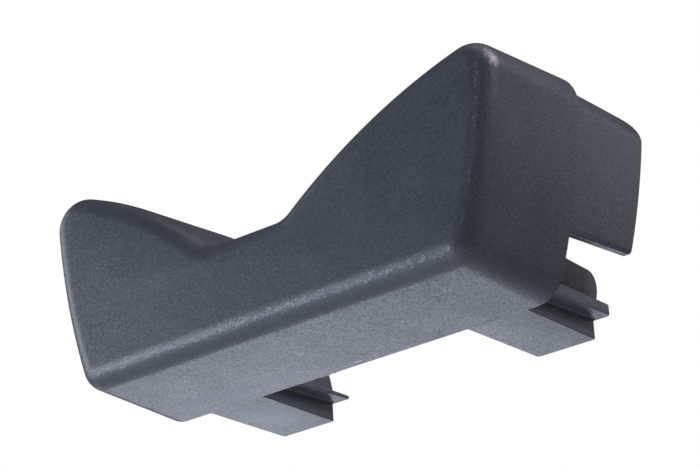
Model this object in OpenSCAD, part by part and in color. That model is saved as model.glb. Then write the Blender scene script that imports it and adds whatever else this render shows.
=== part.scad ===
// End cap for a saddle-shaped extruded rail: a moulded shell with two horns and a
// valley between them, open at the back, with two tabs and two T-shaped feet that
// slide into the rail. X is across the rail, Y runs into the rail, Z is up.
// Sizes are in millimetres. The rim, which meets the rail's cut end, lies in the plane y = 0.

/* [Outline at the rim] */
// Width over the two horns
width = 80; // [74:0.5:90]
// Height of the horns above the bottom
height = 31.5; // [29:0.5:36]
// Length of the flat bottom between its two rounded corners
base_flat = 61.8; // [58:0.5:64]
// Radius of the two bottom corners
base_corner_r = 4.5; // [4.5:0.1:6]
// Radius of the bowed side walls
side_r = 100; // [80:1:160]
// Radius of the horn tips
tip_r = 5.3; // [4.6:0.1:6]
// Height of the valley floor above the bottom
valley_height = 16.7; // [13:0.1:19]
// Length of the flat valley floor
valley_flat = 10; // [6:0.1:14]
// Distance of the valley from the middle, towards the left horn
valley_offset = 3.3; // [0:0.1:5]
// Radius between the valley floor and each inner slope
valley_r = 3.5; // [2:0.1:6]
// Radius of the left horn's inner slope
left_slope_r = 68; // [50:1:120]
// Radius of the right horn's inner slope
right_slope_r = 83; // [60:1:140]

/* [Shell] */
// Depth of the shell from its front face to the rim
depth = 19; // [15:0.2:24]
// Wall thickness all round and at the front
wall = 2.2; // [1.8:0.1:2.8]
// Radius of the rounded front edge
front_r = 3.1; // [2.4:0.1:3.4]
// Angle by which the walls lean in towards the front
draft = 2.8; // [1:0.1:3]

/* [Side tabs] */
// Length of a tab behind the rim
tab_length = 17; // [10:0.2:20]
// Thickness of a tab
tab_thick = 1.2; // [1:0.1:1.6]
// Distance of a tab's outer face from the outside of the rim, the rail's wall
tab_inset = 1; // [0.8:0.1:1.6]
// Height of a tab's lower edge at the rim
tab_bottom = 9.1; // [8:0.1:12]
// Height of a tab's upper edge at the rim
tab_top = 30.2; // [26:0.2:30.6]
// Slope of a tab's upper and lower edges, in degrees
tab_taper = 3.6; // [0:0.1:6]
// Radius of a tab's upper rear corner
tab_corner_r = 3; // [1:0.1:4]

/* [Feet] */
// Distance between the middles of the two feet
feet_spacing = 45.9; // [40:0.1:47]
// Distance of the pair of feet from the middle, towards the right horn
feet_offset = 1.2; // [0:0.1:2]
// Length of a foot's neck behind the rim
neck_length = 16.3; // [10:0.1:17]
// Width of a foot's neck at the rim, which fills the slot's opening
neck_width = 10; // [8:0.1:10.4]
// Height of the neck below the fins, the thickness of the slot's lips
neck_height = 2.3; // [2:0.1:2.6]
// Width over a foot's two fins
fin_width = 14.2; // [12:0.1:15]
// Thickness of the fins at the rim
fin_thick = 2.2; // [1.8:0.1:2.6]
// How far the fins' underside rises towards their rear end
fin_rise = 0.7; // [0.2:0.1:0.9]
// Length of the fins and the block behind the rim
fin_length = 17.1; // [12:0.1:20]
// Width of the block above the fins
block_width = 9; // [8:0.1:10]
// Height of the block's top at the rim, above the bottom
block_top = 10.2; // [9:0.1:11]
// Angle by which the block leans outwards
block_lean = 11; // [6:0.5:14]

/* [Hidden] */
plastic_colour = [0.27, 0.28, 0.31];
$fn = 144;
// How far one solid reaches into the next where they join
join = 0.5;
// How far a skin is drawn past the plane that cuts it
overrun = 0.2;
// Points along each kind of rounding
corner_steps = 8;
tip_steps = 14;
wall_steps = 12;
edge_steps = 8;
half_width = width / 2;
half_base = base_flat / 2;
half_valley = valley_flat / 2;
lean = depth * tan(draft);
// Smallest radius left at the corners of the front face and inside the shell
least_r = 0.4;
// The front edge's radius is kept inside the smallest outer corner
edge_r = min(front_r, min(base_corner_r, tip_r) - lean - least_r);
// Underside of a foot, a hair above the bottom of the rim
foot_z = 0.15;
fin_z = foot_z + neck_height;
block_z = fin_z + fin_thick;
// The neck and the fins run this far forward inside the shell
neck_root = 2;
fin_root = 4;
// Narrowing of a neck towards its rear end, and the radius of its rear corners
neck_taper = 0.4;
neck_corner_r = 0.4;
// How far a tab runs forward along the inside of the wall
tab_root = 9;
// How far a tab's strip is drawn below its lower edge before it is cut to shape
tab_margin = 3;
// How far round the horn's tip a tab's strip reaches, in degrees from level
tab_tip_angle = 80;
// Rounding of small corners, and of the block's upper rear corner
small_r = 0.8;
block_corner_r = 2.5;
block_fall = 0.5;
// Slant of a tab's rear end
tab_end_slant = 1.3;

// Point at distance ra from a and rb from b, on the left of the way from a to b
function meet(a, ra, b, rb) =
    let (d = b - a, l = norm(d), u = d / l)
    let (s = (ra * ra - rb * rb + l * l) / (2 * l), h = sqrt(ra * ra - s * s))
    a + u * s + h * [-u[1], u[0]];
// Direction from a to b, in degrees
function direction(a, b) = atan2(b[1] - a[1], b[0] - a[0]);
// The same direction, at least as large as a given one
function onward(angle, least) = angle < least ? onward(angle + 360, least) : angle;
// Points on an arc
function arc(centre, r, from, to, steps) =
    [for (i = [0:steps])
        let (angle = from + (to - from) * i / steps)
        centre + r * [cos(angle), sin(angle)]];
// The middle of the arc that rounds corner b of the path a, b, c with radius r
function corner_centre(a, b, c, r) =
    let (u = (a - b) / norm(a - b), v = (c - b) / norm(c - b), m = (u + v) / norm(u + v))
    b + m * r / sin(acos(u * m));
// The outline with corners rounded; each entry is [point, radius], walked anticlockwise
function rounded(corners) =
    [for (i = [0:len(corners) - 1])
        let (n = len(corners), a = corners[(i + n - 1) % n][0], b = corners[i][0])
        let (c = corners[(i + 1) % n][0], r = corners[i][1], m = corner_centre(a, b, c, r))
        let (from = direction(a, b) - 90, to = onward(direction(b, c) - 90, from))
        each (r > 0 ? arc(m, r, from, to, corner_steps) : [b])];

// One half of the outline as if it were the right one: the middles of its corner,
// side, tip, slope and valley arcs, and the directions where one arc meets the next
function half_centres(valley_edge, slope_r) =
    let (corner = [half_base, base_corner_r])
    let (tip = [half_width - tip_r, height - tip_r])
    let (hollow = [valley_edge, valley_height + valley_r])
    let (side = meet(corner, side_r - base_corner_r, tip, side_r - tip_r))
    let (slope = meet(tip, slope_r - tip_r, hollow, slope_r + valley_r))
    [corner, side, tip, slope, hollow];
function half_angles(m) =
    let (a = direction(m[1], m[0]), b = direction(m[1], m[2]))
    let (c = onward(direction(m[3], m[2]), b), d = onward(direction(m[3], m[4]), c))
    [-90, a, b, c, d];

right_centres = half_centres(half_valley - valley_offset, right_slope_r);
right_angles = half_angles(right_centres);
left_centres = half_centres(half_valley + valley_offset, left_slope_r);
left_angles = half_angles(left_centres);

// Stands an outline in x and z upright and runs it along y from y0 to y1
module along_depth(y0, y1) {
    translate([0, y0, 0])
        rotate([90, 0, 0])
            mirror([0, 0, 1])
                linear_extrude(y1 - y0)
                    children();
}

// Runs an outline in y and z along x from x0 to x1
module across_width(x0, x1) {
    translate([x0, 0, 0])
        rotate([90, 0, 90])
            linear_extrude(x1 - x0)
                children();
}

// One half of the outline, set in from the rim's outline, from the bottom to the valley
function half_outline(m, a, slope_r, inset) = concat(
    arc(m[0], base_corner_r - inset, a[0], a[1], corner_steps),
    tail(arc(m[1], side_r - inset, a[1], a[2], wall_steps)),
    tail(arc(m[2], tip_r - inset, a[2], a[3], tip_steps)),
    tail(arc(m[3], slope_r - inset, a[3], a[4], wall_steps)),
    tail(arc(m[4], valley_r + inset, a[4] - 180, -90, corner_steps)));
function tail(points) = [for (i = [1:len(points) - 1]) points[i]];
function mirrored(points) = [for (i = [len(points) - 1:-1:0]) [-points[i][0], points[i][1]]];
function outline(inset) = concat(
    half_outline(right_centres, right_angles, right_slope_r, inset),
    mirrored(half_outline(left_centres, left_angles, left_slope_r, inset)));

// How far a drafted wall has moved in at depth y
function drawn_in(y) = (depth - y) * tan(draft);
// Outer skin from the front face to just past the rim; each entry is [inset, y]
function skin_steps() =
    let (bend = drawn_in(edge_r) + edge_r / cos(draft))
    concat(
        [for (i = [0:edge_steps]) let (t = (90 - draft) * i / edge_steps)
            [bend - edge_r * sin(t), edge_r - edge_r * cos(t)]],
        [[drawn_in(depth + overrun), depth + overrun]]);
// Inner skin, bevelled behind the front face, drawn past both of its cutting planes
function hollow_steps() =
    let (bevel = max(edge_r - wall, least_r), y = wall + bevel, gap = wall / cos(draft))
    [
        [drawn_in(y) + gap + bevel + overrun, wall - overrun],
        [drawn_in(y) + gap, y],
        [drawn_in(depth + join) + gap, depth + join]];

// Solid with the outline's shape, set in and moved along y as the steps say
module lofted(steps) {
    rings = [for (s = steps) outline(s[0])];
    n = len(rings[0]);
    last = len(steps) - 1;
    points = [for (k = [0:last]) each [for (q = rings[k]) [q[0], steps[k][1], q[1]]]];
    sides = [for (k = [0:last - 1]) each [for (i = [0:n - 1])
        [k * n + i, k * n + (i + 1) % n, (k + 1) * n + (i + 1) % n, (k + 1) * n + i]]];
    front = [for (i = [n - 1:-1:0]) i];
    rim = [for (i = [0:n - 1]) last * n + i];
    polyhedron(points, concat([front], sides, [rim]));
}

// All of the space between two depths
module slab(y0, y1) {
    translate([-width, y0, -height])
        cube([2 * width, y1 - y0, 3 * height]);
}

// The hollow shell, cut off square at the rim and open there
module shell() {
    intersection() {
        slab(-join, depth);
        difference() {
            lofted(skin_steps());
            intersection() {
                slab(wall, depth + width);
                lofted(hollow_steps());
            }
        }
    }
}

// A tab across the rail: a strip along the inside of the side wall and the horn's tip
function tab_section() =
    let (m = right_centres, a = right_angles, low = asin((tab_bottom - m[1][1] - tab_margin) / side_r))
    let (strip = function (inset) concat(
        arc(m[1], side_r - inset, low, a[2], wall_steps),
        tail(arc(m[2], tip_r - inset, a[2], tab_tip_angle, corner_steps))))
    let (inner = strip(tab_inset + tab_thick), n = len(inner) - 1)
    concat(strip(tab_inset), [for (i = [n:-1:0]) inner[i]]);
// Outline of a tab seen from the side: y is the depth, z the height
function tab_outline() =
    let (start = depth - tab_root, end = depth + tab_length, fall = tan(tab_taper))
    rounded([
        [[start, tab_bottom], 0],
        [[depth, tab_bottom], 0],
        [[end - tab_end_slant, tab_bottom + tab_length * fall], small_r],
        [[end, tab_top - tab_length * fall], tab_corner_r],
        [[depth, tab_top], 0],
        [[start, tab_top], 0]]);

// Tab that follows the inside of the right side wall
module tab() {
    intersection() {
        along_depth(0, depth + tab_length)
            polygon(tab_section());
        across_width(0, width)
            polygon(tab_outline());
    }
}

// Outline of a foot's block seen from the side
function block_outline() =
    let (start = wall - join, end = depth + fin_length, fall = tan(block_fall))
    rounded([
        [[start, wall / 2 + lean], 0],
        [[depth - fin_root, wall / 2 + lean], 0],
        [[depth - fin_root, block_z - join], 0],
        [[end, block_z - join], 0],
        [[end, block_top - fin_length * fall], block_corner_r],
        [[start, block_top], 0]]);

// The block of the right foot, which leans out from half way up the fins
module block() {
    bend = block_z - fin_thick / 2;
    shift = (block_top - bend) * tan(block_lean);
    half = block_width / 2;
    intersection() {
        along_depth(0, depth + fin_length)
            polygon([
                [-half, 0],
                [half, 0],
                [half, bend],
                [half + shift, block_top],
                [shift - half, block_top],
                [-half, bend]]);
        across_width(-width / 2, width / 2)
            polygon(block_outline());
    }
}

// The pair of fins: bonded to the lower wall inside the shell, rising behind the rim
module fins() {
    start = depth - fin_root;
    end = depth + fin_length;
    intersection() {
        linear_extrude(block_z)
            polygon(rounded([
                [[-fin_width / 2, start], 0],
                [[fin_width / 2, start], 0],
                [[fin_width / 2, end], small_r],
                [[-fin_width / 2, end], small_r]]));
        across_width(-fin_width, fin_width)
            polygon([
                [start, wall / 2],
                [depth, wall / 2],
                [depth, fin_z],
                [end, fin_z + fin_rise],
                [end, block_z],
                [start, block_z]]);
    }
}

// One foot, built as the right one about its own middle
module foot() {
    half_neck = neck_width / 2;
    end = depth + neck_length;
    translate([0, 0, foot_z])
        linear_extrude(neck_height + fin_rise + join)
            polygon(rounded([
                [[-half_neck, depth - neck_root], 0],
                [[half_neck, depth - neck_root], 0],
                [[half_neck - neck_taper / 2, end], neck_corner_r],
                [[neck_taper / 2 - half_neck, end], neck_corner_r]]));
    fins();
    block();
}

// The whole cap, moulded in one piece, moved so that its rim lies at y = 0
module end_cap() {
    color(plastic_colour)
        translate([0, -depth, 0])
            union() {
                shell();
                tab();
                mirror([1, 0, 0])
                    tab();
                translate([feet_offset + feet_spacing / 2, 0, 0])
                    foot();
                translate([feet_offset - feet_spacing / 2, 0, 0])
                    mirror([1, 0, 0])
                        foot();
            }
}

end_cap();
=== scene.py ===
"""Looks of a moulded end cap for a saddle-shaped rail, modelled and dressed in Blender."""
import logging
import math
from dataclasses import dataclass, field
from enum import Enum
from typing import Callable

import bmesh
import bpy
from mathutils import Matrix, Vector


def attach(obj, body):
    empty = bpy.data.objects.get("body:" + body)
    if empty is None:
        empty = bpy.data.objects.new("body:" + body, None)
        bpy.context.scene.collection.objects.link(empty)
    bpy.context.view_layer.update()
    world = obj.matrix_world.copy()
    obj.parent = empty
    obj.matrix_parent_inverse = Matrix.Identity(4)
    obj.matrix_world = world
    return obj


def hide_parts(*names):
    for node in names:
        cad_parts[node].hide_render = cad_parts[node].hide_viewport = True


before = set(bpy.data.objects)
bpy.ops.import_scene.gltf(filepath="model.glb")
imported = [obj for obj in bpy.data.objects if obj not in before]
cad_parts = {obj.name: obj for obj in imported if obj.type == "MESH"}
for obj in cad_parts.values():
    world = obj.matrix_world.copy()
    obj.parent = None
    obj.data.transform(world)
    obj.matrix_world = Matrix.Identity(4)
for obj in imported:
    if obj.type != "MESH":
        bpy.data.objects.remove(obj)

MM = 0.001
LOG = logging.getLogger("end_cap")
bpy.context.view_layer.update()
TURN_IN_OUTLINE = (0.0, 1.0, 0.0)
# Vertices closer than this are merged into one
SAME_POINT_MM = 0.002
# Edges that turn by more than this, in degrees, count as sharp
SHARP = 45
# A face looks along an axis when its normal's share of that axis is above this
FACING = 0.9
# Faces across each fine edge rounding
EDGE_STEPS = 4


class Horn(Enum):
    """The two sides of the cap, as the sign of their X."""

    RIGHT = 1
    LEFT = -1


def linear(hex_text: str) -> tuple[float, float, float, float]:
    """Turns an sRGB colour into the linear colour that shaders take.

    Args:
        hex_text: Six hex digits, such as "4a4e57".

    Returns:
        Linear red, green, blue and an alpha of 1.
    """
    channels = [int(hex_text[i:i + 2], 16) / 255 for i in (0, 2, 4)]
    values = [c / 12.92 if c <= 0.04045 else ((c + 0.055) / 1.055) ** 2.4 for c in channels]
    return (values[0], values[1], values[2], 1.0)


def direction(azimuth: float, elevation: float) -> Vector:
    """Turns two angles into a direction.

    Args:
        azimuth: Angle from the front, -Y, towards +X, in degrees.
        elevation: Angle above the horizon, in degrees.

    Returns:
        A vector of length one.
    """
    az = math.radians(azimuth)
    el = math.radians(elevation)
    return Vector((math.sin(az) * math.cos(el), -math.cos(az) * math.cos(el), math.sin(el)))


def start_clean() -> None:
    """Leaves edit mode and deselects every object."""
    if bpy.context.object is not None and bpy.context.object.mode != "OBJECT":
        bpy.ops.object.mode_set(mode="OBJECT")
    bpy.ops.object.select_all(action="DESELECT")


def open_for_editing(piece: bpy.types.Object) -> None:
    """Makes a piece the active one and enters edit mode.

    Args:
        piece: The mesh object to edit.
    """
    start_clean()
    piece.select_set(True)
    bpy.context.view_layer.objects.active = piece
    bpy.ops.object.mode_set(mode="EDIT")


def pick_faces(piece: bpy.types.Object, wanted: Callable[[Vector, Vector], bool]) -> int:
    """Selects the faces of the piece being edited that pass a test.

    Args:
        piece: The object in edit mode.
        wanted: Takes a face's middle in millimetres and its normal.

    Returns:
        How many faces were selected.
    """
    bpy.ops.mesh.select_mode(type="FACE")
    bpy.ops.mesh.select_all(action="DESELECT")
    mesh = bmesh.from_edit_mesh(piece.data)
    found = [f for f in mesh.faces if wanted(f.calc_center_median() / MM, f.normal)]
    for face in found:
        face.select_set(True)
    mesh.select_flush_mode()
    bmesh.update_edit_mesh(piece.data)
    return len(found)


def pick_edges(piece: bpy.types.Object, wanted: Callable[[Vector, Vector], bool]) -> int:
    """Selects the edges of the piece being edited whose two ends pass a test.

    Args:
        piece: The object in edit mode.
        wanted: Takes the two ends of an edge in millimetres.

    Returns:
        How many edges were selected.
    """
    bpy.ops.mesh.select_mode(type="EDGE")
    bpy.ops.mesh.select_all(action="DESELECT")
    mesh = bmesh.from_edit_mesh(piece.data)
    found = [e for e in mesh.edges if wanted(e.verts[0].co / MM, e.verts[1].co / MM)]
    for edge in found:
        edge.select_set(True)
    mesh.select_flush_mode()
    bmesh.update_edit_mesh(piece.data)
    return len(found)


def box_piece(name: str, low: Vector, high: Vector) -> bpy.types.Object:
    """Adds a box between two corners and opens it for editing.

    Args:
        name: Name of the new object.
        low: Lowest corner, in millimetres.
        high: Highest corner, in millimetres.

    Returns:
        The new object, in edit mode with all of it selected.
    """
    start_clean()
    bpy.ops.mesh.primitive_cube_add(size=MM, location=(0.0, 0.0, 0.0))
    piece = bpy.context.object
    piece.name = name
    open_for_editing(piece)
    bpy.ops.mesh.select_all(action="SELECT")
    bpy.ops.transform.resize(value=high - low)
    bpy.ops.transform.translate(value=(high + low) / 2 * MM)
    return piece


def cut_away(point: Vector, normal: Vector) -> None:
    """Cuts the piece being edited by a plane and fills the cut.

    Args:
        point: A point of the plane, in millimetres.
        normal: Points to the side that is taken away.
    """
    bpy.ops.mesh.select_all(action="SELECT")
    bpy.ops.mesh.bisect(plane_co=point * MM, plane_no=normal, use_fill=True, clear_outer=True)


def round_sharp_edges(radius: float, segments: int) -> None:
    """Rounds every sharp edge of the piece being edited.

    Args:
        radius: Radius of the rounding, in millimetres.
        segments: Faces across the rounding.
    """
    bpy.ops.mesh.select_mode(type="EDGE")
    bpy.ops.mesh.select_all(action="DESELECT")
    bpy.ops.mesh.edges_select_sharp(sharpness=math.radians(SHARP))
    bpy.ops.mesh.bevel(offset=radius * MM, segments=segments, affect="EDGES")


def close_up(piece: bpy.types.Object, merge_mm: float = SAME_POINT_MM) -> None:
    """Merges doubles, turns the faces outwards and leaves edit mode.

    Args:
        piece: The object in edit mode. Not used: the operators work on whatever is in edit mode.
        merge_mm: Vertices closer than this become one, in millimetres.
    """
    bpy.ops.mesh.select_mode(type="VERT")
    bpy.ops.mesh.select_all(action="SELECT")
    bpy.ops.mesh.remove_doubles(threshold=merge_mm * MM)
    bpy.ops.mesh.normals_make_consistent(inside=False)
    bpy.ops.object.mode_set(mode="OBJECT")


def fuse(body: bpy.types.Object, other: bpy.types.Object, operation: str = "UNION") -> None:
    """Joins a solid to the body, or keeps only what both share, and removes it.

    Args:
        body: The solid that is changed.
        other: The solid that is used up.
        operation: UNION or INTERSECT.
    """
    start_clean()
    body.select_set(True)
    bpy.context.view_layer.objects.active = body
    change = body.modifiers.new("change", "BOOLEAN")
    change.operation = operation
    change.solver = "EXACT"
    change.object = other
    bpy.ops.object.modifier_apply(modifier=change.name)
    bpy.data.objects.remove(other, do_unlink=True)


@dataclass(frozen=True)
class Arc:
    """A circular piece of an outline that stands across the rail, in millimetres and degrees."""

    x: float
    z: float
    radius: float
    start: float
    end: float
    steps: int

    def point(self, angle: float) -> Vector:
        """Finds a point of the arc's circle.

        Args:
            angle: Angle from +X towards +Z, in degrees.

        Returns:
            The point, in millimetres, in the plane of the rim.
        """
        turn = math.radians(angle)
        x = self.x + self.radius * math.cos(turn)
        z = self.z + self.radius * math.sin(turn)
        return Vector((x, 0.0, z))

    def mirrored(self) -> "Arc":
        """Mirrors the arc.

        Returns:
            The same arc on the other side of the middle, walked in the same sense.
        """
        return Arc(-self.x, self.z, self.radius, 180 - self.end, 180 - self.start, self.steps)

    def reversed(self) -> "Arc":
        """Turns the arc's sense round.

        Returns:
            The same arc walked backwards.
        """
        return Arc(self.x, self.z, self.radius, self.end, self.start, self.steps)

    def offset(self, change: float) -> "Arc":
        """Moves the arc away from its middle or towards it.

        Args:
            change: What the radius grows by, in millimetres.

        Returns:
            The arc with the new radius.
        """
        return Arc(self.x, self.z, self.radius + change, self.start, self.end, self.steps)


def draw_outline(name: str, arcs: list[Arc], y: float) -> bpy.types.Object:
    """Draws a closed outline by extruding and spinning one vertex, and fills it.

    Args:
        name: Name of the new object.
        arcs: The arcs in order; straight edges join those that do not touch.
        y: Where along the rail the outline stands, in millimetres.

    Returns:
        The new object, in edit mode with its one face selected.
    """
    start_clean()
    first = arcs[0].point(arcs[0].start) + Vector((0.0, y, 0.0))
    bpy.ops.mesh.primitive_plane_add(size=MM, location=(0.0, 0.0, 0.0))
    piece = bpy.context.object
    piece.name = name
    open_for_editing(piece)
    bpy.ops.mesh.select_mode(type="VERT")
    bpy.ops.mesh.select_all(action="SELECT")
    bpy.ops.mesh.merge(type="CENTER")
    bpy.ops.transform.translate(value=first * MM)
    here = first
    for arc in arcs:
        start = arc.point(arc.start) + Vector((0.0, y, 0.0))
        if (start - here).length > SAME_POINT_MM / 2:
            bpy.ops.mesh.extrude_region_move(TRANSFORM_OT_translate={"value": (start - here) * MM})
        bpy.ops.mesh.spin(
            steps=arc.steps,
            angle=math.radians(arc.end - arc.start),
            center=(arc.x * MM, y * MM, arc.z * MM),
            axis=TURN_IN_OUTLINE,
        )
        here = arc.point(arc.end) + Vector((0.0, y, 0.0))
    bpy.ops.mesh.extrude_region_move(TRANSFORM_OT_translate={"value": (first - here) * MM})
    bpy.ops.mesh.select_all(action="SELECT")
    bpy.ops.mesh.remove_doubles(threshold=SAME_POINT_MM * MM)
    bpy.ops.mesh.edge_face_add()
    return piece


@dataclass
class Shell:
    """The hollow shell: an outline with two horns, drafted and rounded by insets."""

    width: float = 79.98
    height: float = 31.49
    base_flat: float = 61.8
    base_corner_r: float = 4.5
    side_r: float = 100.0
    tip_r: float = 5.3
    valley_height: float = 16.7
    valley_flat: float = 10.0
    valley_offset: float = 3.3
    valley_r: float = 3.5
    left_slope_r: float = 68.0
    right_slope_r: float = 83.0
    depth: float = 19.0
    wall: float = 2.2
    front_r: float = 3.1
    draft: float = 2.8
    inner_r: float = 0.9
    rim_band: float = 0.25
    edge_steps: int = 14
    corner_steps: int = 14
    side_steps: int = 20
    tip_steps: int = 26
    slope_steps: int = 26
    valley_steps: int = 12

    @staticmethod
    def meet(a: Vector, ra: float, b: Vector, rb: float) -> Vector:
        """Finds where two circles meet, on the left of the way from a to b.

        Args:
            a: Middle of the first circle.
            ra: Its radius.
            b: Middle of the second circle.
            rb: Its radius.

        Returns:
            The point that lies ra from a and rb from b.
        """
        way = b - a
        along = (ra * ra - rb * rb + way.length_squared) / (2 * way.length)
        away = math.sqrt(ra * ra - along * along)
        unit = way.normalized()
        return a + unit * along + Vector((-unit.y, unit.x)) * away

    def half(self, horn: Horn) -> list[Arc]:
        """Lists the arcs of one half of the outline, as if it were the right one.

        Args:
            horn: The half that is wanted.

        Returns:
            Arcs of the corner, the side, the tip, the slope and the valley's edge.
        """
        slope_r = self.right_slope_r if horn is Horn.RIGHT else self.left_slope_r
        edge = self.valley_flat / 2 - horn.value * self.valley_offset
        corner = Vector((self.base_flat / 2, self.base_corner_r))
        tip = Vector((self.width / 2 - self.tip_r, self.height - self.tip_r))
        hollow = Vector((edge, self.valley_height + self.valley_r))
        side = self.meet(corner, self.side_r - self.base_corner_r, tip, self.side_r - self.tip_r)
        slope = self.meet(tip, slope_r - self.tip_r, hollow, slope_r + self.valley_r)

        def way(a: Vector, b: Vector, least: float) -> float:
            """Finds the direction from one point to another.

            Args:
                a: The point that is looked from.
                b: The point that is looked at.
                least: The angle is given one full turn more when it is below this.

            Returns:
                The angle from the outline's first axis, in degrees.
            """
            angle = math.degrees(math.atan2(b.y - a.y, b.x - a.x))
            return angle if angle >= least else angle + 360

        a = way(side, corner, -180)
        b = way(side, tip, -180)
        c = way(slope, tip, b)
        d = way(slope, hollow, c)
        return [
            Arc(corner.x, corner.y, self.base_corner_r, -90, a, self.corner_steps),
            Arc(side.x, side.y, self.side_r, a, b, self.side_steps),
            Arc(tip.x, tip.y, self.tip_r, b, c, self.tip_steps),
            Arc(slope.x, slope.y, slope_r, c, d, self.slope_steps),
            Arc(hollow.x, hollow.y, self.valley_r, d - 180, -90, self.valley_steps),
        ]

    def outline(self) -> list[Arc]:
        """Lists the arcs of the whole rim.

        Returns:
            The arcs, walked from the lower right corner to the lower left one.
        """
        left = [arc.mirrored() for arc in reversed(self.half(Horn.LEFT))]
        return self.half(Horn.RIGHT) + left

    def inset_round(self, radius: float, forward: bool) -> None:
        """Rounds the selected face's border by insets that follow a quarter circle.

        Args:
            radius: Radius of the rounding, in millimetres.
            forward: True when the face moves outwards, False when it moves into the hollow.
        """
        sweep = math.radians(90 - self.draft)
        angles = [sweep * i / self.edge_steps for i in range(self.edge_steps, -1, -1)]
        sign = 1.0 if forward else -1.0
        for before, after in zip(angles, angles[1:]):
            bpy.ops.mesh.inset(
                thickness=radius * (math.sin(before) - math.sin(after)) * MM,
                depth=sign * radius * (math.cos(after) - math.cos(before)) * MM,
            )

    def build(self) -> bpy.types.Object:
        """Models the shell, skin first and hollow second.

        Returns:
            The shell as a closed solid.
        """
        draft = math.radians(self.draft)
        slope = math.tan(draft)
        piece = draw_outline("end_cap_shell", self.outline(), 0.0)
        bpy.ops.mesh.extrude_region_move(
            TRANSFORM_OT_translate={"value": (0.0, -self.rim_band * MM, 0.0)}
        )
        bpy.ops.mesh.select_all(action="SELECT")
        bpy.ops.mesh.normals_make_consistent(inside=False)
        pick_faces(piece, lambda middle, normal: normal.y < -FACING)
        straight = self.depth - self.front_r * (1 - math.sin(draft)) - self.rim_band
        bpy.ops.mesh.inset(thickness=straight * slope * MM, depth=straight * MM)
        self.inset_round(self.front_r, True)
        pick_faces(piece, lambda middle, normal: normal.y > FACING)
        bpy.ops.mesh.inset(thickness=self.wall / math.cos(draft) * MM, depth=0.0)
        deep = self.depth - self.wall - self.inner_r * (1 - math.sin(draft))
        bpy.ops.mesh.inset(thickness=deep * slope * MM, depth=-deep * MM)
        self.inset_round(self.inner_r, False)
        close_up(piece)
        return piece


@dataclass
class SideTab:
    """A tab that follows the inside of a side wall and a horn's tip, behind the rim."""

    shell: Shell
    length: float = 17.0
    thick: float = 1.16
    inset: float = 1.0
    bottom: float = 9.1
    top: float = 30.2
    taper: float = 3.6
    corner_r: float = 3.0
    low_corner_r: float = 0.8
    end_slant: float = 1.3
    root: float = 9.0
    edge_r: float = 0.28
    spare: float = 3.0
    margin: float = 1.0
    tip_end: float = 80.0
    side_steps: int = 24
    tip_steps: int = 16
    corner_steps: int = 14
    low_corner_steps: int = 6
    merge_mm: float = 0.01

    def build(self, horn: Horn) -> bpy.types.Object:
        """Models a tab.

        Args:
            horn: The side that the tab is on.

        Returns:
            The tab as a closed solid.
        """
        side, tip = self.shell.half(Horn.RIGHT)[1:3]
        low = math.degrees(math.asin((self.bottom - side.z - self.spare) / side.radius))
        outer = [
            Arc(side.x, side.z, side.radius, low, side.end, self.side_steps),
            Arc(tip.x, tip.z, tip.radius, tip.start, self.tip_end, self.tip_steps),
        ]
        strip = [arc.offset(-self.inset) for arc in outer]
        strip += [arc.offset(-self.inset - self.thick).reversed() for arc in reversed(outer)]
        if horn is Horn.LEFT:
            strip = [arc.mirrored() for arc in reversed(strip)]
        piece = draw_outline("side_tab", strip, -self.root)
        bpy.ops.mesh.extrude_region_move(
            TRANSFORM_OT_translate={"value": (0.0, (self.root + self.length) * MM, 0.0)}
        )
        close_up(piece)
        fuse(piece, self.side_view(), "INTERSECT")
        open_for_editing(piece)
        bpy.ops.mesh.select_all(action="SELECT")
        bpy.ops.mesh.remove_doubles(threshold=self.merge_mm * MM)
        round_sharp_edges(self.edge_r, EDGE_STEPS)
        close_up(piece)
        return piece

    def side_view(self) -> bpy.types.Object:
        """Models the tab's shape seen from the side, as a plate wider than the cap.

        Returns:
            The plate, with its two rear corners rounded.
        """
        fall = math.tan(math.radians(self.taper))
        rear_low = Vector((0.0, self.length - self.end_slant, self.bottom + self.length * fall))
        rear_top = Vector((0.0, self.length, self.top - self.length * fall))
        up = (rear_top - rear_low).normalized()
        wide = self.shell.width / 2 + self.margin
        plate = box_piece(
            "tab_side_view",
            Vector((-wide, -self.root - self.margin, 0.0)),
            Vector((wide, self.length + self.margin, self.shell.height + self.margin)),
        )
        cut_away(rear_top, Vector((0.0, up.z, -up.y)))
        cut_away(Vector((0.0, 0.0, self.top)), Vector((0.0, fall, 1.0)))
        cut_away(Vector((0.0, 0.0, self.bottom)), Vector((0.0, fall, -1.0)))
        upright = math.radians(90 - self.taper)
        slant = math.asin(up.y)
        middle = self.shell.height / 2

        def rear_edge(a: Vector, b: Vector) -> bool:
            """Tells whether an edge runs across the cap at the plate's rear end.

            Args:
                a: One end of the edge, in millimetres.
                b: Its other end.

            Returns:
                True for such an edge.
            """
            return abs(a.x - b.x) > wide and a.y > self.length / 2

        pick_edges(plate, lambda a, b: rear_edge(a, b) and a.z > middle)
        offset = self.corner_r * math.tan((upright + slant) / 2)
        bpy.ops.mesh.bevel(offset=offset * MM, segments=self.corner_steps, affect="EDGES")
        pick_edges(plate, lambda a, b: rear_edge(a, b) and a.z < middle)
        offset = self.low_corner_r * math.tan((upright - slant) / 2)
        bpy.ops.mesh.bevel(offset=offset * MM, segments=self.low_corner_steps, affect="EDGES")
        close_up(plate)
        return plate


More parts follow.
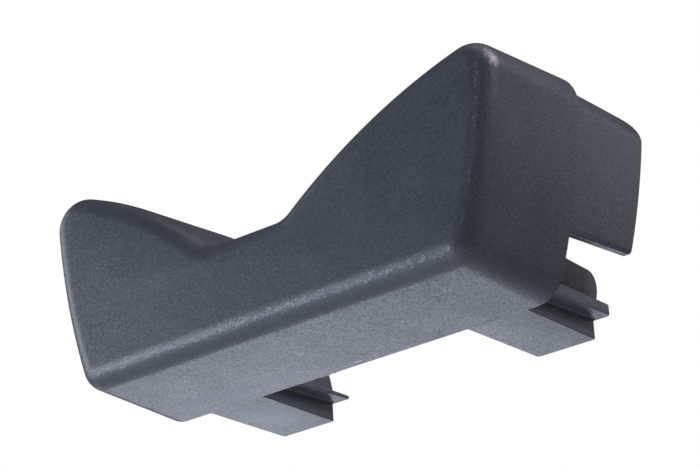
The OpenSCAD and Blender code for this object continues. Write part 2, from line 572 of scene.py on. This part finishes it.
@dataclass
class Foot:
    """A T-shaped foot behind the rim: a neck, a pair of fins and a block that leans outwards."""

    shell: Shell
    spacing: float = 45.9
    offset: float = 1.2
    foot_z: float = 0.15
    neck_length: float = 16.3
    neck_width: float = 10.0
    neck_height: float = 2.3
    neck_taper: float = 0.4
    neck_root: float = 2.0
    neck_corner_r: float = 0.4
    fin_width: float = 14.2
    fin_thick: float = 2.2
    fin_rise: float = 0.7
    length: float = 17.1
    fin_corner_r: float = 0.8
    inner_drop: float = 0.5
    fillet_r: float = 0.45
    block_width: float = 9.0
    block_top: float = 10.2
    block_lean: float = 11.0
    block_fall: float = 2.4
    block_corner_r: float = 2.6
    root: float = 4.0
    edge_r: float = 0.16
    hair: float = 0.02
    overlap: float = 0.5
    rear_zone: float = 15.0
    upright_least: float = 1.0
    level_slack: float = 0.01
    side_slack: float = 0.05
    root_slack: float = 0.1
    rear_slack: float = 0.3
    top_slack: float = 0.2
    corner_steps: int = 12
    fin_corner_steps: int = 8
    fillet_steps: int = 6
    neck_corner_steps: int = 5

    @property
    def fin_z(self) -> float:
        """Gives the height of the fins' underside at the rim.

        Returns:
            The height, in millimetres.
        """
        return self.foot_z + self.neck_height

    @property
    def block_z(self) -> float:
        """Gives the height of the fins' upper side.

        Returns:
            The height, in millimetres.
        """
        return self.fin_z + self.fin_thick

    def build(self, horn: Horn) -> bpy.types.Object:
        """Models a foot.

        Args:
            horn: The side that the foot is on.

        Returns:
            The foot as a closed solid.
        """
        middle = self.offset + horn.value * self.spacing / 2
        body = self.fins(horn)
        fuse(body, self.neck())
        self.fill_corner(body)
        for part in (self.fin_root(), self.block(horn), self.block_root()):
            fuse(body, part)
        open_for_editing(body)
        bpy.ops.mesh.select_all(action="SELECT")
        bpy.ops.transform.translate(value=(middle * MM, 0.0, 0.0))
        close_up(body)
        return body

    def stands_at_rear(self, a: Vector, b: Vector) -> bool:
        """Tells whether an edge stands upright at the foot's rear end.

        Args:
            a: One end of the edge, in millimetres.
            b: Its other end.

        Returns:
            True for such an edge.
        """
        return min(a.y, b.y) > self.rear_zone and abs(a.z - b.z) > self.upright_least

    def neck(self) -> bpy.types.Object:
        """Models the neck under the fins, a little narrower at its rear end.

        Returns:
            The neck as a closed solid.
        """
        half = self.neck_width / 2
        piece = box_piece(
            "neck",
            Vector((-half, -self.neck_root, self.foot_z)),
            Vector((half, self.neck_length, self.fin_z + self.fin_rise + self.overlap)),
        )
        pick_faces(piece, lambda middle, normal: normal.y > FACING)
        bpy.ops.transform.resize(value=(1.0 - self.neck_taper / self.neck_width, 1.0, 1.0))
        pick_edges(piece, self.stands_at_rear)
        bpy.ops.mesh.bevel(
            offset=self.neck_corner_r * MM, segments=self.neck_corner_steps, affect="EDGES"
        )
        sole = self.foot_z + self.level_slack
        pick_edges(piece, lambda a, b: max(a.y, b.y) > 0 and max(a.z, b.z) < sole)
        bpy.ops.mesh.bevel(offset=self.edge_r * MM, segments=EDGE_STEPS, affect="EDGES")
        close_up(piece)
        return piece

    def fins(self, horn: Horn) -> bpy.types.Object:
        """Models the pair of fins, a plate with rounded rear corners and a rising underside.

        Args:
            horn: The side that the foot is on; the fin towards the middle slopes down.

        Returns:
            The fins as a closed solid.
        """
        half = self.fin_width / 2
        piece = box_piece(
            "foot",
            Vector((-half, -self.root, 0.0)),
            Vector((half, self.length, self.block_z)),
        )
        cut_away(Vector((0.0, 0.0, self.fin_z)), Vector((0.0, self.fin_rise / self.length, -1.0)))
        inner = -horn.value * self.block_width / 2
        fall = self.inner_drop / (half - self.block_width / 2)
        cut_away(
            Vector((inner, 0.0, self.block_z - self.inner_drop)),
            Vector((-horn.value * fall, 0.0, 1.0)),
        )
        pick_edges(piece, self.stands_at_rear)
        bpy.ops.mesh.bevel(
            offset=self.fin_corner_r * MM, segments=self.fin_corner_steps, affect="EDGES"
        )
        round_sharp_edges(self.edge_r, EDGE_STEPS)
        close_up(piece)
        return piece

    def fill_corner(self, body: bpy.types.Object) -> None:
        """Rounds the inner corner where the neck meets the fins' underside.

        Args:
            body: The fins and the neck in one solid.
        """
        open_for_editing(body)
        slope = self.fin_rise / self.length
        reach = self.neck_width / 2 + self.side_slack

        def in_corner(point: Vector) -> bool:
            """Tells whether a point lies where the neck meets the fins' underside.

            Args:
                point: The point, in millimetres.

            Returns:
                True for such a point.
            """
            level = abs(point.z - self.fin_z - point.y * slope) < self.level_slack
            along = -self.neck_root - self.root_slack < point.y < self.length - self.rear_slack
            return level and along and abs(point.x) < reach

        pick_edges(body, lambda a, b: in_corner(a) and in_corner(b))
        bpy.ops.mesh.bevel(offset=self.fillet_r * MM, segments=self.fillet_steps, affect="EDGES")
        close_up(body)

    def fin_root(self) -> bpy.types.Object:
        """Models the filling between the fins and the lower wall, inside the shell.

        Returns:
            The filling as a closed solid.
        """
        half = self.fin_width / 2 - self.hair
        piece = box_piece(
            "fin_root",
            Vector((-half, self.hair - self.root, self.shell.wall / 2)),
            Vector((half, -self.hair, self.fin_z + self.overlap)),
        )
        close_up(piece)
        return piece

    def block_root(self) -> bpy.types.Object:
        """Models the lower half of the block, which stands on the lower wall inside the shell.

        Returns:
            The block's lower half as a closed solid.
        """
        half = self.block_width / 2 - self.hair
        low = self.shell.wall / 2 + self.shell.depth * math.tan(math.radians(self.shell.draft))
        piece = box_piece(
            "block_root",
            Vector((-half, self.front + self.hair, low)),
            Vector((half, -self.hair, self.block_z)),
        )
        close_up(piece)
        return piece

    @property
    def front(self) -> float:
        """Gives how far forward the block reaches, into the shell's front wall.

        Returns:
            The place of its front end along Y, in millimetres.
        """
        return self.shell.wall - self.overlap - self.shell.depth

    def block(self, horn: Horn) -> bpy.types.Object:
        """Models the block above the fins, which leans outwards from half way up the fins.

        Args:
            horn: The side that the foot is on.

        Returns:
            The block as a closed solid.
        """
        half = self.block_width / 2
        bend = self.block_z - self.fin_thick / 2
        piece = box_piece(
            "block",
            Vector((-half, self.front, bend)),
            Vector((half, self.length, self.block_top)),
        )
        pick_faces(piece, lambda middle, normal: normal.z > FACING)
        lean = math.tan(math.radians(self.block_lean)) * (self.block_top - bend)
        bpy.ops.transform.translate(value=(horn.value * lean * MM, 0.0, 0.0))
        fall = math.tan(math.radians(self.block_fall))
        cut_away(Vector((0.0, 0.0, self.block_top)), Vector((0.0, fall, 1.0)))
        low = self.block_top - self.length * fall
        least = low - self.top_slack
        pick_edges(piece, lambda a, b: min(a.y, b.y) > self.rear_zone and min(a.z, b.z) > least)
        bpy.ops.mesh.bevel(
            offset=self.block_corner_r * MM, segments=self.corner_steps, affect="EDGES"
        )
        round_sharp_edges(self.edge_r, EDGE_STEPS)
        close_up(piece)
        return piece


@dataclass(frozen=True)
class Flash:
    """A ragged sliver of flash on the rim's lower edge, as thin as the mould's parting gap."""

    start: float = -6.6
    end: float = -2.5
    low: float = 0.03
    high: float = 0.26
    reaches: tuple[float, ...] = (0.12, 0.34, 0.24, 0.3, 0.16, 0.26, 0.1)
    root: float = 0.3
    web: float = 0.05
    tooth_root: float = 0.2
    gap: float = 0.06
    hair: float = 0.01
    tooth_r: float = 0.04

    def build(self) -> bpy.types.Object:
        """Models the flash as a row of teeth of unequal length.

        Returns:
            The flash as a closed solid.
        """
        step = (self.end - self.start) / len(self.reaches)
        body = box_piece(
            "flash",
            Vector((self.start, -self.root, self.low)),
            Vector((self.end, self.web, self.high)),
        )
        close_up(body)
        for number, reach in enumerate(self.reaches):
            left = self.start + number * step + self.hair
            tooth = box_piece(
                "tooth",
                Vector((left, -self.tooth_root, self.low + self.hair)),
                Vector((left + step - self.gap, reach, self.high - 2 * self.hair)),
            )
            pick_edges(tooth, lambda a, b: min(a.y, b.y) > 0)
            bpy.ops.mesh.bevel(offset=self.tooth_r * MM, segments=2, affect="EDGES")
            close_up(tooth)
            fuse(body, tooth)
        return body


@dataclass(frozen=True)
class Mark:
    """A small mark on the skin, or painted shade on it: a soft-edged ellipsoid of another colour.
    """

    centre: tuple[float, float, float]
    radii: tuple[float, float, float]
    colour: str


@dataclass(frozen=True)
class MouldedPlastic:
    """Polyamide moulded in a spark-eroded tool: a dark blue-grey skin with a fine grain."""

    dark: str = "444850"
    colour: str = "4f535c"
    pale: str = "5c6069"
    polished: float = 0.42
    dull: float = 0.5
    grain_mm: float = 0.21
    grain_depth_mm: float = 0.03
    glint_mm: float = 0.22
    glint_tilt: float = 0.23
    film: float = 0.36
    film_roughness: float = 0.13
    speck_mm: float = 0.27
    cloud_mm: float = 9.0
    index: float = 1.53
    noise_roughness: float = 0.55
    grain_detail: float = 2.0
    cloud_detail: float = 3.0
    speck_detail: float = 1.0
    tone_span: tuple[float, float] = (0.3, 0.7)
    cloud_tones: tuple[float, float] = (0.35, 0.65)
    speck_tones: tuple[float, float] = (-0.5, 0.5)
    sheen_span: tuple[float, float] = (0.35, 0.65)
    mark_edge: tuple[float, float] = (0.7, 1.1)
    marks_and_painted_shade: tuple[Mark, ...] = (
        Mark((1.55, -1.04, 0.0), (0.8, 0.13, 0.3), "f4f6fa"),
        # Painted shade: a dark line where the step at the right foot's seam lies in shadow
        Mark((23.3, -0.16, 0.0), (2.4, 0.32, 0.35), "141518"),
        # Painted shade: a dark spot for the shade inside a small pit at the right foot
        Mark((23.2, -0.3, 0.0), (0.7, 0.5, 0.4), "0c0d10"),
    )

    def node(
        self,
        tree: bpy.types.NodeTree,
        kind: str,
        settings: dict[str | int, object],
        links: dict[str | int, bpy.types.NodeSocket],
    ) -> bpy.types.Node:
        """Adds a node with its settings and links.

        Args:
            tree: The node tree to add to.
            kind: Type name of the node.
            settings: Node attributes, or input sockets' values where the key is a socket's.
            links: Input sockets' names or numbers and the output sockets that feed them.

        Returns:
            The new node.
        """
        made = tree.nodes.new(kind)
        for name, value in settings.items():
            if isinstance(name, str) and hasattr(made, name):
                setattr(made, name, value)
            else:
                made.inputs[name].default_value = value
        for name, source in links.items():
            tree.links.new(source, made.inputs[name])
        return made

    def noise(
        self,
        tree: bpy.types.NodeTree,
        place: bpy.types.NodeSocket,
        size_mm: float,
        detail: float,
    ) -> bpy.types.NodeSocket:
        """Adds a cloudy pattern.

        Args:
            tree: The node tree to add to.
            place: Object coordinates, in metres.
            size_mm: Size of the largest spots, in millimetres.
            detail: How many finer layers are added.

        Returns:
            The pattern's value, around one half.
        """
        made = self.node(
            tree,
            "ShaderNodeTexNoise",
            {"Scale": 1.0 / (size_mm * MM), "Detail": detail, "Roughness": self.noise_roughness},
            {"Vector": place},
        )
        return made.outputs["Fac"]

    def mapped(
        self,
        tree: bpy.types.NodeTree,
        value: bpy.types.NodeSocket,
        span: tuple[float, float],
        result: tuple[float, float],
    ) -> bpy.types.NodeSocket:
        """Stretches one range of values over another.

        Args:
            tree: The node tree to add to.
            value: The value that comes in.
            span: Where the incoming range starts and ends.
            result: What its start and its end become.

        Returns:
            The stretched value.
        """
        made = self.node(
            tree,
            "ShaderNodeMapRange",
            {"From Min": span[0], "From Max": span[1], "To Min": result[0], "To Max": result[1]},
            {"Value": value},
        )
        return made.outputs["Result"]

    def marked(
        self,
        tree: bpy.types.NodeTree,
        place: bpy.types.NodeSocket,
        colour: bpy.types.NodeSocket,
        mark: Mark,
    ) -> bpy.types.NodeSocket:
        """Paints one mark over a colour.

        Args:
            tree: The node tree to add to.
            place: Object coordinates, in metres.
            colour: The colour under the mark.
            mark: The mark to paint.

        Returns:
            The colour with the mark on it.
        """
        away = self.node(
            tree,
            "ShaderNodeVectorMath",
            {"operation": "SUBTRACT", 1: tuple(value * MM for value in mark.centre)},
            {0: place},
        )
        scaled = self.node(
            tree,
            "ShaderNodeVectorMath",
            {"operation": "MULTIPLY", 1: tuple(1.0 / (value * MM) for value in mark.radii)},
            {0: away.outputs["Vector"]},
        )
        reach = self.node(
            tree,
            "ShaderNodeVectorMath",
            {"operation": "LENGTH"},
            {0: scaled.outputs["Vector"]},
        )
        inside = self.mapped(tree, reach.outputs["Value"], self.mark_edge, (1.0, 0.0))
        painted = self.node(
            tree,
            "ShaderNodeMixRGB",
            {"Color2": linear(mark.colour)},
            {"Fac": inside, "Color1": colour},
        )
        return painted.outputs["Color"]

    def build(self) -> bpy.types.Material:
        """Makes the material.

        Returns:
            The finished material.
        """
        material = bpy.data.materials.new("moulded_polyamide")
        material.use_nodes = True
        tree = material.node_tree
        tree.nodes.clear()
        place = self.node(tree, "ShaderNodeTexCoord", {}, {}).outputs["Object"]
        # Pits of the eroded tool: they break the sheen on the roundings into sparkles
        grain = self.noise(tree, place, self.grain_mm, self.grain_detail)
        # Flow clouds of the melt: some patches are a little paler and duller than others
        clouds = self.noise(tree, place, self.cloud_mm, self.cloud_detail)
        # Specks of filler at the skin: the salt-and-pepper look of the flat faces
        specks = self.noise(tree, place, self.speck_mm, self.speck_detail)
        cloud_tone = self.mapped(tree, clouds, self.tone_span, self.cloud_tones)
        speck_tone = self.mapped(tree, specks, self.tone_span, self.speck_tones)
        tone = self.node(
            tree,
            "ShaderNodeMath",
            {"operation": "ADD"},
            {0: cloud_tone, 1: speck_tone},
        )
        ramp = self.node(tree, "ShaderNodeValToRGB", {}, {"Fac": tone.outputs["Value"]})
        stops = ramp.color_ramp.elements
        stops[0].color = linear(self.dark)
        stops[1].color = linear(self.pale)
        middle = stops.new(0.5)
        middle.color = linear(self.colour)
        # A white chip by the rim, and painted shade where the right foot starts: a dark line for
        # the shadowed step at its seam and a dark spot for the shade inside a small pit
        colour = ramp.outputs["Color"]
        for mark in self.marks_and_painted_shade:
            colour = self.marked(tree, place, colour, mark)
        sheen = self.mapped(tree, clouds, self.sheen_span, (self.polished, self.dull))
        bump = self.node(
            tree,
            "ShaderNodeBump",
            {"Strength": 1.0, "Distance": self.grain_depth_mm * MM},
            {"Height": grain},
        )
        # Facets of the pits, each tilted its own way: single glints where a lamp is mirrored
        facets = self.node(
            tree,
            "ShaderNodeTexVoronoi",
            {"Scale": 1.0 / (self.glint_mm * MM)},
            {"Vector": place},
        )
        centred = self.node(
            tree,
            "ShaderNodeVectorMath",
            {"operation": "SUBTRACT", 1: (0.5, 0.5, 0.5)},
            {0: facets.outputs["Color"]},
        )
        tilt = self.node(
            tree,
            "ShaderNodeVectorMath",
            {"operation": "MULTIPLY_ADD", 1: (self.glint_tilt, self.glint_tilt, self.glint_tilt)},
            {0: centred.outputs["Vector"], 2: bump.outputs["Normal"]},
        )
        glint = self.node(
            tree,
            "ShaderNodeVectorMath",
            {"operation": "NORMALIZE"},
            {0: tilt.outputs["Vector"]},
        )
        skin = self.node(
            tree,
            "ShaderNodeBsdfPrincipled",
            {"IOR": self.index, "Coat Weight": self.film, "Coat Roughness": self.film_roughness},
            {
                "Coat Normal": glint.outputs["Vector"],
                "Base Color": colour,
                "Roughness": sheen,
                "Normal": bump.outputs["Normal"],
            },
        )
        self.node(tree, "ShaderNodeOutputMaterial", {}, {"Surface": skin.outputs["BSDF"]})
        return material


@dataclass
class Cap:
    """The whole cap, one moulded piece."""

    shell: Shell = field(default_factory=Shell)
    finish: MouldedPlastic = field(default_factory=MouldedPlastic)
    merge_mm: float = 0.0002
    smooth_angle: float = 30.0

    def build(self) -> bpy.types.Object:
        """Models the cap and dresses it.

        Returns:
            The cap, riding on the root body in place of the CAD node.
        """
        body = self.shell.build()
        LOG.info("shell: %d faces", len(body.data.polygons))
        parts = [Flash().build()]
        for horn in Horn:
            parts += [SideTab(self.shell).build(horn), Foot(self.shell).build(horn)]
            faces = sum(len(part.data.polygons) for part in parts[-2:])
            LOG.info("tab and foot %s: %d faces", horn.name, faces)
        # One union with all that stands on the shell: the pieces don't touch each other
        start_clean()
        for part in parts:
            part.select_set(True)
        bpy.context.view_layer.objects.active = parts[0]
        bpy.ops.object.join()
        fuse(body, parts[0])
        LOG.info("united: %d faces", len(body.data.polygons))
        body.name = "end_cap_body"
        open_for_editing(body)
        close_up(body, self.merge_mm)
        bpy.ops.object.shade_smooth_by_angle(angle=math.radians(self.smooth_angle))
        body.data.materials.clear()
        body.data.materials.append(self.finish.build())
        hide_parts("end_cap")
        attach(body, "root")
        return body


@dataclass(frozen=True)
class Lamp:
    """A soft square lamp, placed by its direction as seen from the cap."""

    name: str
    azimuth: float
    elevation: float
    size: float
    power: float
    colour: str

    def build(self, aim: Vector, distance: float) -> None:
        """Hangs the lamp and turns it to the cap.

        Args:
            aim: What the lamp faces, in metres.
            distance: How far the lamp is, in metres.
        """
        start_clean()
        bpy.ops.object.light_add(type="AREA")
        lamp = bpy.context.object
        lamp.name = self.name
        away = direction(self.azimuth, self.elevation)
        lamp.location = aim + away * distance
        lamp.rotation_euler = away.to_track_quat("Z", "Y").to_euler()
        lamp.data.shape = "SQUARE"
        lamp.data.size = self.size
        lamp.data.energy = self.power
        lamp.data.color = linear(self.colour)[:3]
        lamp.visible_camera = False


@dataclass
class Studio:
    """Pale floor, white surroundings, soft lamps and the camera."""

    azimuth: float = 38.211
    elevation: float = -22.798
    roll: float = -3.119
    distance: float = 350.886
    shift_right: float = -7.143
    shift_up: float = -2.312
    aim: tuple[float, float, float] = (0.0, -11.0, 14.0)
    lens: float = 133.06
    sensor_width: float = 36.0
    near: float = 0.01
    floor_size: float = 6.0
    floor_z: float = -0.25
    floor_colour: str = "e6e6e6"
    floor_roughness: float = 0.9
    room_colour: str = "f4f8ff"
    room_strength: float = 0.05
    lamp_aim: tuple[float, float, float] = (0.0, 0.0, 0.014)
    lamp_distance: float = 0.5
    lamps: tuple[Lamp, ...] = (
        Lamp("below_behind", -125.0, -30.0, 0.38, 0.44, "e9efff"),
        Lamp("below_far", -150.0, -30.0, 0.38, 0.62, "e6eeff"),
        Lamp("front_low", -38.0, -6.0, 0.06, 0.31, "eaf2ff"),
        Lamp("front_lower", -40.0, -20.0, 0.06, 0.46, "e0ebff"),
        Lamp("left_front", -60.0, 0.0, 0.32, 0.8, "ecf4ff"),
        Lamp("left_high", -80.0, 25.0, 0.22, 0.24, "f6faff"),
        Lamp("right", 98.0, 40.0, 0.15, 1.12, "fcf7fb"),
        Lamp("right_high", 95.0, 62.0, 0.15, 0.42, "fcf7fb"),
        Lamp("right_behind", 120.0, 40.0, 0.15, 0.13, "fbf3ff"),
        Lamp("behind_right", 150.0, 20.0, 0.22, 0.08, "fbf5ff"),
        Lamp("front_spark", 12.0, 23.0, 0.04, 0.09, "e8f1ff"),
        Lamp("top", 0.0, 89.0, 0.22, 0.1, "ffffff"),
    )

    def camera(self) -> None:
        """Places the camera where the photographed one stood."""
        roll = math.radians(self.roll)
        back = direction(self.azimuth, self.elevation)
        level = Vector((0.0, 0.0, 1.0)).cross(back).normalized()
        upright = back.cross(level)
        right = math.cos(roll) * level + math.sin(roll) * upright
        up = -math.sin(roll) * level + math.cos(roll) * upright
        eye = Vector(self.aim) + back * self.distance
        eye = eye - right * self.shift_right - up * self.shift_up
        start_clean()
        bpy.ops.object.camera_add()
        camera = bpy.context.object
        camera.name = "photo_camera"
        turn = Matrix((right, up, back)).transposed().to_4x4()
        camera.matrix_world = Matrix.Translation(eye * MM) @ turn
        camera.data.lens = self.lens
        camera.data.sensor_width = self.sensor_width
        camera.data.clip_start = self.near
        bpy.context.scene.camera = camera

    def floor(self) -> None:
        """Lays a pale floor well below the cap, so that the camera can look up at it."""
        start_clean()
        bpy.ops.mesh.primitive_plane_add(size=self.floor_size, location=(0.0, 0.0, self.floor_z))
        floor = bpy.context.object
        floor.name = "studio_floor"
        material = bpy.data.materials.new("white_card")
        material.use_nodes = True
        skin = material.node_tree.nodes["Principled BSDF"]
        skin.inputs["Base Color"].default_value = linear(self.floor_colour)
        skin.inputs["Roughness"].default_value = self.floor_roughness
        floor.data.materials.append(material)

    def world(self) -> None:
        """Gives a white background to the camera and a dim grey light to the cap."""
        world = bpy.data.worlds.new("white_room")
        bpy.context.scene.world = world
        world.use_nodes = True
        tree = world.node_tree
        tree.nodes.clear()
        path = tree.nodes.new("ShaderNodeLightPath")
        seen = tree.nodes.new("ShaderNodeBackground")
        seen.inputs["Color"].default_value = (1.0, 1.0, 1.0, 1.0)
        seen.inputs["Strength"].default_value = 1.0
        dim = tree.nodes.new("ShaderNodeBackground")
        dim.inputs["Color"].default_value = linear(self.room_colour)
        dim.inputs["Strength"].default_value = self.room_strength
        mix = tree.nodes.new("ShaderNodeMixShader")
        out = tree.nodes.new("ShaderNodeOutputWorld")
        tree.links.new(path.outputs["Is Camera Ray"], mix.inputs[0])
        tree.links.new(dim.outputs[0], mix.inputs[1])
        tree.links.new(seen.outputs[0], mix.inputs[2])
        tree.links.new(mix.outputs[0], out.inputs["Surface"])

    def build(self) -> None:
        """Sets up the floor, the world, the lamps and the camera."""
        bpy.context.scene.view_settings.view_transform = "Standard"
        self.floor()
        self.world()
        for lamp in self.lamps:
            lamp.build(Vector(self.lamp_aim), self.lamp_distance)
        self.camera()


def main() -> None:
    """Builds the cap and the studio in order, and logs the cap's face count."""
    logging.basicConfig(level=logging.INFO, format="%(name)s: %(message)s")
    cap = Cap().build()
    LOG.info("cap: %d faces", len(cap.data.polygons))
    Studio().build()


if __name__ == "__main__":
    main()
